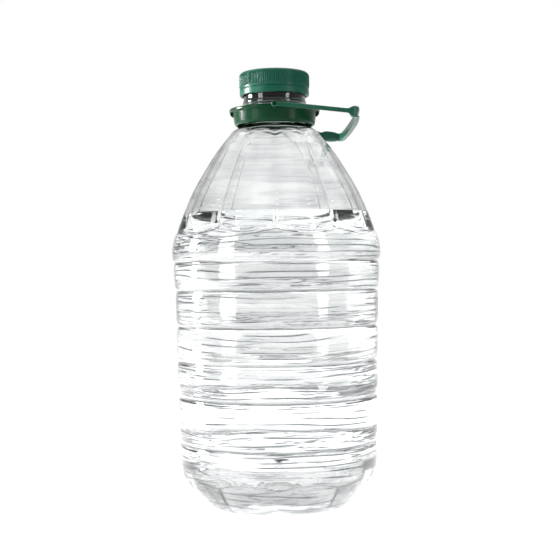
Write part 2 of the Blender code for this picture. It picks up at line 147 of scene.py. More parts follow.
def bridge(work: Work, rings: list[Ring], closed: bool = False) -> None:
    """Join rings of equally many vertices by faces; a ring that repeats one vertex is a pole.

    Args:
        work: The work mesh that takes the faces.
        rings: The rings, in order.
        closed: Whether the last ring joins the first.
    """
    for first, second in zip(rings, rings[1:] + rings[:1] if closed else rings[1:]):
        for spot in range(len(first)):
            after = (spot + 1) % len(first)
            work.faces.new(list(dict.fromkeys((first[spot], first[after], second[after], second[spot]))))


def turn_outline(work: Work, outline: list[Pair], steps: int, closed: bool = False,
                 level: float | None = None) -> None:
    """Turn an outline about Z, or about a level line along Y; a radius of 0 becomes one pole.

    Args:
        work: The work mesh that takes the faces.
        outline: Points of (radius, place along the axis).
        steps: Number of columns.
        closed: Whether the last point joins the first.
        level: Height of the line along Y, or None to turn about Z.
    """
    rings: list[Ring] = []
    for radius, place in outline:
        count = steps if radius > 0.0 else 1
        angles = [math.tau * step / count for step in range(count)]
        spots = [(radius * math.cos(a), radius * math.sin(a)) for a in angles]
        ring = [work.verts.new((x, y, place) if level is None else (x, place, level + y)) for x, y in spots]
        rings.append(ring * (steps // count))
    bridge(work, rings, closed)


# ---- shared node helpers


def feed(tree: Tree, node: Node, feeds: dict[str | int, Source]) -> Node:
    """Feed a node's inputs with constants or with other nodes' outputs.

    Args:
        tree: The tree that holds the node.
        node: The node.
        feeds: What each input takes, by name or number; a colour is given as three numbers.

    Returns:
        The same node.
    """
    for key, source in feeds.items():
        if isinstance(source, Socket):
            tree.links.new(source, node.inputs[key])
        elif node.inputs[key].type == "RGBA":
            node.inputs[key].default_value = (*source, 1.0)
        else:
            node.inputs[key].default_value = source
    return node


def add_node(tree: Tree, kind: str, feeds: dict[str | int, Source]) -> Node:
    """Add a node of a kind and feed its inputs."""
    return feed(tree, tree.nodes.new(kind), feeds)


def add_math(tree: Tree, operation: str, *terms: Source) -> Socket:
    """Add a math node.

    Args:
        tree: The tree that takes it.
        operation: What it works out.
        terms: Its inputs, in order.

    Returns:
        The result.
    """
    node = add_node(tree, "ShaderNodeMath", dict(enumerate(terms)))
    node.operation = operation
    return node.outputs[0]


def add_blend(tree: Tree, factor: Source, first: Source, second: Source, way: str = "MIX") -> Socket:
    """Add a mix of two colours.

    Args:
        tree: The tree that takes it.
        factor: The second colour's share.
        first: The first colour.
        second: The second colour.
        way: How they mix.

    Returns:
        The mixed colour.
    """
    node = tree.nodes.new("ShaderNodeMix")
    node.data_type, node.blend_type = "RGBA", way
    return feed(tree, node, {"Factor": factor, 6: first, 7: second}).outputs[2]


def add_range(tree: Tree, value: Source, low: Source, high: Source, start: Source = 0.0,
              end: Source = 1.0, soft: bool = True) -> Socket:
    """Add a step from one value to another.

    Args:
        tree: The tree that takes it.
        value: What is read.
        low: Where the step starts.
        high: Where it ends.
        start: Value up to low.
        end: Value from high on.
        soft: Whether the step eases in and out.

    Returns:
        The stepped value.
    """
    feeds = {"Value": value, "From Min": low, "From Max": high, "To Min": start, "To Max": end}
    node = add_node(tree, "ShaderNodeMapRange", feeds)
    if soft:
        node.interpolation_type = "SMOOTHSTEP"
    return node.outputs[0]


def add_noise(tree: Tree, place: Source, scale: Source, detail: float) -> Socket:
    """Add a cloudy noise and return its value."""
    return add_node(tree, "ShaderNodeTexNoise", {"Vector": place, "Scale": scale, "Detail": detail}).outputs["Fac"]


def add_stretch(tree: Tree, place: Source, amount: Source) -> Socket:
    """Stretch a place along Z.

    Args:
        tree: The tree that takes the nodes.
        place: The place.
        amount: What its height is multiplied by.

    Returns:
        The stretched place.
    """
    factors = add_node(tree, "ShaderNodeCombineXYZ", {"X": 1.0, "Y": 1.0, "Z": amount}).outputs[0]
    node = add_node(tree, "ShaderNodeVectorMath", {0: place, 1: factors})
    node.operation = "MULTIPLY"
    return node.outputs[0]


def new_group(name: str, inputs: Sockets, outputs: Sockets, kind: str = "ShaderNodeTree"
              ) -> tuple[Tree, bpy.types.NodeOutputs, Node]:
    """Start a node group.

    Args:
        name: The group's name.
        inputs: Names of its inputs, listed by kind of socket.
        outputs: Names of its outputs, listed the same way.
        kind: Kind of tree.

    Returns:
        The tree, what its inputs give inside it, and its output node.
    """
    tree = bpy.data.node_groups.new(name, kind)
    for way, sockets in (("INPUT", inputs), ("OUTPUT", outputs)):
        for socket, labels in sockets.items():
            for label in labels:
                tree.interface.new_socket(name=label, in_out=way, socket_type="NodeSocket" + socket)
    return tree, tree.nodes.new("NodeGroupInput").outputs, tree.nodes.new("NodeGroupOutput")


# ---- finishes


def mould_group() -> Tree:
    """Build the shared group for moulded plastic: cloudy colour, uneven gloss and a fine skin.

    Returns:
        A shader group with outputs Colour, Roughness and Height.
    """
    tree, entry, leave = new_group(
        "moulded_skin",
        {"Color": ("Deep", "Pale"), "Float": ("Cloud Scale", "Skin Scale", "Roughness", "Unevenness")},
        {"Color": ("Colour",), "Float": ("Roughness", "Height")})
    place = tree.nodes.new("ShaderNodeTexCoord").outputs["Object"]
    cloud = add_noise(tree, place, entry["Cloud Scale"], CLOUD_DETAIL)
    uneven = add_math(tree, "MULTIPLY", cloud, entry["Unevenness"])
    feed(tree, leave, {"Colour": add_blend(tree, cloud, entry["Deep"], entry["Pale"]),
                       "Roughness": add_math(tree, "ADD", entry["Roughness"], uneven),
                       "Height": add_noise(tree, place, entry["Skin Scale"], SKIN_DETAIL)})
    return tree


def wave_group() -> Tree:
    """Build the shared group for clear walls and water: a slow wobble, ripples and level creases.

    The creases gather in clusters, which also carry the haze. Calm damps them past a height. Painted shade darkens the
    tint along the crease lines, along the fold lines marked on the mesh and over the neck.

    Returns:
        A shader group with outputs Colour, Roughness and Height.
    """
    tree, entry, leave = new_group(
        "clear_wobble",
        {"Color": ("Tint", "Haze", "Shade", "Fold Shade", "Neck"),
         "Float": ("Wobble Scale", "Ripple Scale", "Stretch", "Crease", "Crease Scale", "Crease Stretch",
                   "Crease Width", "Crease Pitch", "Crease Warp", "Calm", "Calm From", "Calm To", "Neck From",
                   "Neck To")},
        {"Color": ("Colour",), "Float": ("Roughness", "Height")})
    place = tree.nodes.new("ShaderNodeTexCoord").outputs["Object"]
    level = add_node(tree, "ShaderNodeSeparateXYZ", {0: place}).outputs["Z"]
    wavy = add_stretch(tree, place, entry["Stretch"])
    wobble, ripple = (add_noise(tree, wavy, entry[size], WAVE_DETAIL) for size in ("Wobble Scale", "Ripple Scale"))
    ripple = add_math(tree, "MULTIPLY", ripple, RIPPLE_SHARE)
    drift = add_noise(tree, add_stretch(tree, place, entry["Crease Stretch"]), entry["Crease Scale"], WAVE_DETAIL)
    warp = add_math(tree, "MULTIPLY", drift, entry["Crease Warp"])
    count = add_math(tree, "MULTIPLY_ADD", level, entry["Crease Pitch"], warp)
    away = add_math(tree, "ABSOLUTE", add_math(tree, "SUBTRACT", add_math(tree, "FRACT", count), 0.5))
    cluster = add_range(tree, wobble, CLUSTER_FROM, CLUSTER_TO, start=CLUSTER_LOW)
    crease = add_math(tree, "MULTIPLY", add_range(tree, away, 0.0, entry["Crease Width"], 1.0, 0.0), cluster)
    calm = add_range(tree, level, entry["Calm From"], entry["Calm To"], 1.0, entry["Calm"])
    # painted shade: the crease lines, damped twice by calm, take the dark Shade colour
    shaded = add_math(tree, "MULTIPLY", crease, add_math(tree, "MULTIPLY", calm, calm))
    # painted shade: the fold marks on the mesh take the dark Fold Shade colour
    fold = tree.nodes.new("ShaderNodeAttribute")
    fold.attribute_name = "fold"
    # painted shade: the neck above Neck From takes the dark Neck colour
    neck = add_range(tree, level, entry["Neck From"], entry["Neck To"], soft=False)
    colour = entry["Tint"]
    for factor, tint in ((cluster, "Haze"), (shaded, "Shade"), (fold.outputs["Fac"], "Fold Shade"), (neck, "Neck")):
        colour = add_blend(tree, factor, colour, entry[tint])
    waves = add_math(tree, "ADD", wobble, ripple)
    height = add_math(tree, "ADD", waves, add_math(tree, "MULTIPLY", crease, entry["Crease"]))
    feed(tree, leave, {"Colour": colour, "Roughness": add_math(tree, "MULTIPLY", wobble, GLOSS_SHARE),
                       "Height": add_math(tree, "MULTIPLY", height, calm)})
    return tree


@dataclass(frozen=True)
class Finish:
    """A finish on a shared group; each field named like one of the group's inputs sets that input."""

    name: str
    depth: float

    def plain(self) -> dict[str, float | Triple]:
        """List the constants on the shader's own inputs."""
        return {}

    def make(self, group: Tree) -> Material:
        """Build the material.

        Args:
            group: The shared group, with outputs Colour, Roughness and Height.

        Returns:
            The material.
        """
        material = bpy.data.materials.new(self.name)
        material.use_nodes = True
        tree = material.node_tree
        effect = tree.nodes.new("ShaderNodeGroup")
        effect.node_tree = group
        values = {name.replace("_", " ").title(): value for name, value in asdict(self).items()}
        feed(tree, effect, {name: value for name, value in values.items() if name in effect.inputs})
        bump = add_node(tree, "ShaderNodeBump", {"Distance": self.depth, "Height": effect.outputs["Height"]})
        feed(tree, tree.nodes["Principled BSDF"],
             {**self.plain(), "Base Color": effect.outputs["Colour"], "Roughness": effect.outputs["Roughness"],
              "Normal": bump.outputs["Normal"]})
        return material


@dataclass(frozen=True)
class ClearFinish(Finish):
    """A clear finish: bottle wall or water."""

    ior: float
    tint: Triple
    haze: Triple
    wobble_scale: float
    ripple_scale: float
    stretch: float
    crease: float = 0.0
    crease_scale: float = 14.0
    crease_stretch: float = 3.0
    crease_width: float = 0.15
    crease_pitch: float = 210.0
    crease_warp: float = 3.0
    # painted shade: shade is laid on the crease lines, fold_shade on the marked fold lines
    shade: Triple = (1.0, 1.0, 1.0)
    fold_shade: Triple = (1.0, 1.0, 1.0)
    calm: float = 1.0
    calm_from: float = 1.0
    calm_to: float = 2.0
    # painted shade: neck is the dark colour laid over the neck, from neck_from up
    neck: Triple = (1.0, 1.0, 1.0)
    neck_from: float = 1.0
    neck_to: float = 2.0

    def plain(self) -> dict[str, float | Triple]:
        """List the constants on the shader's own inputs."""
        return {"Metallic": 0.0, "Transmission Weight": 1.0, "IOR": self.ior}


@dataclass(frozen=True)
class MouldFinish(Finish):
    """A coloured moulded plastic finish."""

    deep: Triple
    pale: Triple
    roughness: float
    unevenness: float
    cloud_scale: float
    skin_scale: float
    glow: float
    shine: float
    ior: float = 1.50
    glow_radii: Triple = (0.2, 1.0, 0.7)
    glow_depth: float = 0.0015

    def plain(self) -> dict[str, float | Triple]:
        """List the constants on the shader's own inputs."""
        return {"IOR": self.ior, "Specular IOR Level": self.shine, "Subsurface Weight": self.glow,
                "Subsurface Radius": self.glow_radii, "Subsurface Scale": self.glow_depth}


# painted shade: shade darkens the crease lines, fold_shade the marked fold lines and neck the neck
CLEAR_WALL = ClearFinish(
    name="clear_wall", depth=0.0005, ior=1.57, tint=(0.975, 0.981, 0.981), haze=(0.850, 0.864, 0.868),
    wobble_scale=22.0, ripple_scale=70.0, stretch=5.0, crease=0.44, crease_scale=8.0, crease_stretch=5.0,
    crease_width=0.15, crease_pitch=235.0, crease_warp=3.6, shade=(0.20, 0.21, 0.215),
    fold_shade=(0.16, 0.17, 0.175), calm=0.26, calm_from=0.200, calm_to=0.212, neck=(0.28, 0.34, 0.31),
    neck_from=0.2905, neck_to=0.2945)
STILL_WATER = ClearFinish(
    name="still_water", depth=0.0002, ior=1.333, tint=(0.960, 0.966, 0.967), haze=(0.945, 0.954, 0.955),
    wobble_scale=20.0, ripple_scale=60.0, stretch=1.0)
CAP_GREEN = MouldFinish(
    name="cap_green", depth=0.00005, deep=(0.005, 0.062, 0.039), pale=(0.008, 0.080, 0.053), roughness=0.24,
    unevenness=0.08, cloud_scale=70.0, skin_scale=1600.0, glow=0.05, shine=0.16)
COLLAR_GREEN = MouldFinish(
    name="collar_green", depth=0.00005, deep=(0.0004, 0.022, 0.007), pale=(0.0008, 0.030, 0.011), roughness=0.17,
    unevenness=0.08, cloud_scale=60.0, skin_scale=1400.0, glow=0.03, shine=0.11)
BAIL_GREEN = MouldFinish(
    name="bail_green", depth=0.00006, deep=(0.003, 0.050, 0.027), pale=(0.006, 0.070, 0.040), roughness=0.26,
    unevenness=0.10, cloud_scale=80.0, skin_scale=1500.0, glow=0.08, shine=0.35)


# ---- bottle and water


def notch(share: float) -> float:
    """Rise to 1 halfway down an edge and fall back to 0 near both of its ends."""
    return max(0.0, 1.0 - abs(share - 0.5) / NOTCH_REACH)


@dataclass
class BottleForm:
    """The bottle's outer form: neck, petalled shoulder, grooved rings, petalled heel and base."""

    mouth_height: float = 0.3273
    mouth_lip: tuple[Pair, ...] = ((0.0, 0.0004), (0.0003, 0.0001), (0.0006, 0.0))
    neck_radius: float = 0.0238
    neck_foot: float = 0.2918
    neck_rows: int = 40
    bead_height: float = 0.3062
    bead_half: float = 0.0024
    bead_rise: float = 0.0007
    neck_flare: tuple[Pair, ...] = (
        (0.2815, 0.0352), (0.2850, 0.0326), (0.2874, 0.0288), (0.2896, 0.0255), (0.2918, 0.0238))
    flare_rows: int = 12
    base_radius: float = 0.0560
    standing_radius: float = 0.0500
    push_up: tuple[Pair, ...] = ((0.0, 0.0130), (0.0060, 0.0129), (0.0300, 0.0105), (0.0450, 0.0035), (0.0500, 0.0))
    base_rib: float = 0.0010
    base_rows: int = 12
    grooves: tuple[float, ...] = (0.0480, 0.0829, 0.1097, 0.1361, 0.1631, 0.1845)
    groove_depth: float = 0.0021
    groove_half: float = 0.0075
    groove_soft: float = 0.04
    groove_curve: float = 1.15
    groove_v: Pair = (0.0012, 0.0020)
    groove_rows: tuple[float, ...] = (0.0, 0.14, 0.27, 0.4, 0.6, 0.9, 1.0)
    rings: tuple[Pair, ...] = (
        (0.0300, 0.0765), (0.0650, 0.0772), (0.1500, 0.0782), (0.1760, 0.0792), (0.1940, 0.0804), (0.2086, 0.0771))
    ring_rows: int = 40
    petals: int = 10
    petal_depth: float = 0.052
    petal_rows: int = 50
    heel_depth: float = 0.030
    heel_rows: int = 17
    shoulder: tuple[Pair, ...] = (
        (0.2090, 0.0759), (0.2232, 0.0707), (0.2386, 0.0638), (0.2541, 0.0549), (0.2697, 0.0448), (0.2815, 0.0352))
    heel: tuple[Pair, ...] = ((0.0, 0.0570), (0.0034, 0.0606), (0.0096, 0.0660), (0.0160, 0.0704), (0.0235, 0.0738))
    scallop_curve: float = 1.7
    shoulder_line: float = 0.2045
    shoulder_scallop: float = 0.0038
    shoulder_ledge: float = 0.0026
    ledge: tuple[Pair, ...] = ((0.04, 0.02), (0.10, 0.09), (0.50, 0.50), (0.90, 0.91), (0.96, 0.98), (1.0, 1.0))
    crown_drop: float = 0.0060
    crown_rows: int = 6
    petal_top: float = 0.2825
    petal_fade: float = 0.0160
    top_scallop: float = 0.0025
    top_zone: Pair = (0.255, 0.282)
    heel_line: float = 0.0235
    heel_scallop: float = 0.0037
    heel_ledge: float = 0.0016
    heel_step: float = 0.0022
    heel_turn: tuple[Pair, ...] = ((0.15, 0.06), (0.33, 0.25), (0.50, 0.50), (0.67, 0.75), (0.85, 0.94), (1.0, 1.0))
    slack: float = 0.00022
    slack_level: float = 0.9
    slack_swing: float = 0.25
    slack_waves: tuple[Triple, ...] = ((3.0, 70.0, 0.0), (5.0, -110.0, 1.3))
    nick: float = 0.0006
    valley_nick: float = 0.0004
    valley_share: float = 0.08
    # painted shade lines: share in the valleys, where a valley starts, heights covered, reach at grooves and edges
    valley_mark: float = 0.08
    valley_edge: float = 0.999
    mark_zone: Pair = (0.001, 0.2785)
    fold_reach: float = 0.00002
    columns: int = 200
    crowding: float = 0.6

    def angles(self) -> np.ndarray:
        """List the columns' angles, closer together in the valleys between petals.

        Returns:
            One angle per column.
        """
        share = np.arange(self.columns) * self.petals / self.columns
        share = share - self.crowding * np.sin(share * math.tau) / math.tau
        return (share / self.petals - 0.25) * math.tau

    def across(self, angles: np.ndarray) -> np.ndarray:
        """Read 0 on the middle of a petal and 1 in the valley; one valley faces the front."""
        share = ((angles / math.tau + 0.25) * self.petals) % 1.0
        return np.abs(2.0 * share - 1.0)

    def edges(self, across: np.ndarray) -> tuple[np.ndarray, np.ndarray]:
        """Heights of the two scalloped edges: the shoulder's lower end and the heel's upper end."""
        sweep = across ** self.scallop_curve
        return self.shoulder_line + self.shoulder_scallop * sweep, self.heel_line - self.heel_scallop * sweep

    def valley_crease(self) -> np.ndarray:
        """Depth of the fine crease that each column has in its valley."""
        return self.valley_nick * np.clip(1.0 - (1.0 - self.across(self.angles())) / self.valley_share, 0.0, 1.0)

    def ring_radius(self, heights: np.ndarray) -> np.ndarray:
        """Read the straight part's radius, with its grooves and the slack of a thin wall.

        Args:
            heights: Height for each column.

        Returns:
            The radius for each column.
        """
        radii = curve_at(self.rings, heights)
        for groove in self.grooves:
            away = np.sqrt(((heights - groove) / self.groove_half) ** 2 + self.groove_soft ** 2)
            narrow = np.clip(1.0 - np.abs(heights - groove) / self.groove_v[1], 0.0, 1.0)
            bowl = np.clip(1.0 - away, 0.0, 1.0) ** self.groove_curve
            radii = radii - (self.groove_depth - self.groove_v[0]) * bowl - self.groove_v[0] * narrow
        wander = sum(np.sin(turns * self.angles() + rate * heights + start) for turns, rate, start in self.slack_waves)
        return radii - self.slack * (self.slack_level + self.slack_swing * wander)

    def shoulder_radius(self, heights: np.ndarray) -> np.ndarray:
        """Read the radius of the shoulder's petals.

        Args:
            heights: Height for each column.

        Returns:
            The radius for each column.
        """
        valley = self.across(self.angles()) ** 2
        level = heights + self.top_scallop * valley
        fade = 1.0 - smooth_step(self.petal_top - self.petal_fade, self.petal_top, level)
        radii = curve_at(self.shoulder, heights) * (1.0 - self.petal_depth * fade * valley)
        return radii - self.valley_crease() * fade

    def heel_radius(self, heights: np.ndarray) -> np.ndarray:
        """Read the radius of the heel's petals at a height for each column."""
        valley = self.across(self.angles()) ** 2
        return curve_at(self.heel, heights) * (1.0 - self.heel_depth * valley) - self.valley_crease()

    def ring_heights(self) -> list[float]:
        """List the straight part's row heights, close together in each groove, from the top down.

        Returns:
            Heights from the crown down to the lowest ring.
        """
        low, high = self.rings[0][0], self.shoulder_line - self.crown_drop
        heights = {low, high}
        heights |= {round(low + (high - low) * step / self.ring_rows, 6) for step in range(self.ring_rows)}
        heights |= {round(groove + side * share * self.groove_half, 6)
                    for groove in self.grooves for share in self.groove_rows for side in (-1.0, 1.0)}
        return sorted((height for height in heights if low <= height <= high), reverse=True)

    def rows(self) -> list[tuple[np.ndarray, np.ndarray]]:
        """List the outer surface's rows, from the mouth down to the last ring of the underside.

        Returns:
            A (radius, height) pair of arrays, one value per column, for each row.
        """
        flat = np.ones(self.columns)
        across = self.across(self.angles())
        upper, lower = self.edges(across)
        rows = [(flat * (self.neck_radius - inward), flat * (self.mouth_height - drop))
                for drop, inward in self.mouth_lip]
        start = self.mouth_height - self.mouth_lip[-1][0]
        for share in (*inner_steps(self.neck_rows), 1.0):
            height = start - (start - self.neck_foot) * share
            away = min(1.0, abs(height - self.bead_height) / self.bead_half)
            rows.append((flat * (self.neck_radius + self.bead_rise * (1.0 - away ** 2) ** 2), flat * height))
        top = self.shoulder[-1][0]
        for share in inner_steps(self.flare_rows):
            height = flat * (self.neck_foot - (self.neck_foot - top) * share)
            dipped = height - self.top_scallop * across ** 2 * smooth_step(self.neck_foot, top, height)
            rows.append((curve_at(self.neck_flare, height), dipped))
        foot = upper + self.shoulder_ledge
        for step in range(self.petal_rows):
            height = top + (foot - top) * step / (self.petal_rows - 1)
            height = height - self.top_scallop * across ** 2 * smooth_step(*self.top_zone, height)
            rows.append((self.shoulder_radius(height), height))
        inner, outer = self.shoulder_radius(foot), self.ring_radius(upper)
        for share, blend in self.ledge:
            radius = inner * (1.0 - blend) + outer * blend - self.nick * notch(share)
            rows.append((radius, foot - self.shoulder_ledge * share))
        crown = self.shoulder_line - self.crown_drop
        heights = [upper + (crown - upper) * share for share in inner_steps(self.crown_rows)]
        heights += [flat * height for height in self.ring_heights()]
        rows += [(self.ring_radius(height), height) for height in heights]
        lip = lower + self.heel_ledge
        outer, inner = self.ring_radius(lip) - self.heel_step, self.heel_radius(lower)
        rows.append((outer, lip))
        for share, blend in self.heel_turn:
            radius = outer * (1.0 - blend) + inner * blend - self.nick * across * notch(share)
            rows.append((radius, lip - self.heel_ledge * share))
        heights = [lower * (1.0 - share) for share in inner_steps(self.heel_rows)]
        rows += [(self.heel_radius(height), height) for height in heights]
        rows += [(flat * radius, flat * 0.0) for radius in (self.base_radius, self.standing_radius)]
        for share in inner_steps(self.base_rows):
            radius = flat * self.standing_radius * (1.0 - share)
            ridge = self.base_rib * math.sin(math.pi * share) ** 2 * across ** 2
            rows.append((radius, curve_at(self.push_up, radius) + ridge))
        return rows

    def surface(self) -> tuple[np.ndarray, list[tuple[int, ...]]]:
        """Lay out the outer surface, open at the mouth and closed by a pole underneath.

        Returns:
            Its points, and its faces pointing outwards.
        """
        turn, rows, columns = self.angles(), self.rows(), self.columns
        rings = [np.stack((radius * np.cos(turn), radius * np.sin(turn), height), axis=1) for radius, height in rows]
        points = np.concatenate(rings + [np.array([[0.0, 0.0, self.push_up[0][1]]])])
        pole = len(points) - 1
        faces: list[tuple[int, ...]] = []
        for near in range(0, pole, columns):
            far = near + columns
            for column in range(columns):
                after = (column + 1) % columns
                below = (far + column, far + after) if far < pole else (pole,)
                faces.append((near + column, *below, near + after))
        return points, faces

    def folds(self, points: np.ndarray) -> np.ndarray:
        """Mark where painted shade darkens the wall: the grooves, both scalloped edges and the petals' valleys.

        Args:
            points: The outer surface's points.

        Returns:
            The painted shade's share, from 0 on the plain wall to 1 on a fold, for each point.
        """
        heights = points[:, 2]
        across = self.across(np.arctan2(points[:, 1], points[:, 0]))
        upper, lower = (edge + ledge / 2.0 for edge, ledge in
                        zip(self.edges(across), (self.shoulder_ledge, self.heel_ledge)))
        marks = np.zeros(len(points))
        for line in (*self.grooves, upper, lower):
            marks = np.where(np.abs(heights - line) < self.fold_reach, 1.0, marks)
        petal = (heights > self.mark_zone[0]) & (heights < self.mark_zone[1]) & ((heights > upper) | (heights < lower))
        return np.where((across > self.valley_edge) & petal, np.maximum(marks, self.valley_mark), marks)

    def normals(self, points: np.ndarray, faces: list[tuple[int, ...]]) -> np.ndarray:
        """Work out the outward normal at each point.

        Args:
            points: The surface's points.
            faces: Its faces.

        Returns:
            One unit vector per point.
        """
        mesh = bpy.data.meshes.new("normals")
        mesh.from_pydata(points.tolist(), [], faces)
        found = np.empty(len(points) * 3)
        mesh.vertex_normals.foreach_get("vector", found)
        bpy.data.meshes.remove(mesh)
        return found.reshape(-1, 3)


@dataclass
class Bottle:
    """The clear blown shell."""

    form: BottleForm
    wall: float = 0.0009
    neck_wall: float = 0.0018
    neck_zone: Pair = (0.286, 0.292)

    def build(self, material: Material) -> Object:
        """Build the shell with its inner wall and mouth.

        Args:
            material: The clear wall's finish.

        Returns:
            The piece, riding on the vessel.
        """
        points, faces = self.form.surface()
        normals = self.form.normals(points, faces)
        thick = self.wall + (self.neck_wall - self.wall) * smooth_step(*self.neck_zone, points[:, 2])
        inner = points - normals * thick[:, None]
        count, columns = len(points), self.form.columns
        faces = faces + [tuple(count + index for index in reversed(face)) for face in faces]
        for column in range(columns):
            after = (column + 1) % columns
            faces.append((column, after, count + after, count + column))
        mesh = bpy.data.meshes.new("bottle_shell")
        mesh.from_pydata(np.concatenate((points, inner)).tolist(), [], faces)
        # painted shade: dark lines along the grooves, scalloped edges and valleys, read by the wall's material
        marks = np.concatenate((self.form.folds(points), np.zeros(count)))
        mesh.attributes.new("fold", "FLOAT", "POINT").data.foreach_set("value", marks)
        shell = new_piece("bottle_shell", mesh, material, sharp=75.0)
        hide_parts("bottle")
        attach(shell, Body.VESSEL.value)
        shell.visible_shadow = False
        return shell


@dataclass
class Water:
    """The still water, reaching just into the wall, with a curved rim at its surface."""

    form: BottleForm
    level: float = 0.2215
    inset: float = 0.0003
    rim: tuple[Pair, ...] = ((0.0003, 0.0001), (0.0008, 0.0))
    rim_rise: float = 0.0002
    weld: float = 1e-6

    def build(self, material: Material) -> Object:
        """Build the water up to its level.

        Args:
            material: The water's finish.

        Returns:
            The piece, riding on the vessel.
        """
        points, faces = self.form.surface()
        inner = points - self.form.normals(points, faces) * self.inset
        mesh = bpy.data.meshes.new("full")
        mesh.from_pydata(inner.tolist(), [], faces)
        work = bmesh.new()
        work.from_mesh(mesh)
        bpy.data.meshes.remove(mesh)
        everything = list(work.verts) + list(work.edges) + list(work.faces)
        bmesh.ops.bisect_plane(work, geom=everything, dist=self.weld, plane_co=(0.0, 0.0, self.level + self.rim_rise),
                               plane_no=(0.0, 0.0, 1.0), clear_outer=True)
        cut = {vertex for line in work.edges if line.is_boundary for vertex in line.verts}
        edge = sorted(cut, key=lambda vertex: math.atan2(vertex.co.y, vertex.co.x))
        rings = [edge]
        for inward, rise in self.rim:
            shares = [1.0 - inward / math.hypot(vertex.co.x, vertex.co.y) for vertex in edge]
            rings.append([work.verts.new((vertex.co.x * share, vertex.co.y * share, self.level + rise))
                          for vertex, share in zip(edge, shares)])
        rings.append([work.verts.new((0.0, 0.0, self.level))] * len(edge))
        bridge(work, rings)
        fill = new_piece("water_fill", work, material, sharp=60.0)
        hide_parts("water")
        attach(fill, Body.VESSEL.value)
        fill.visible_shadow = False
        return fill


# ---- cap


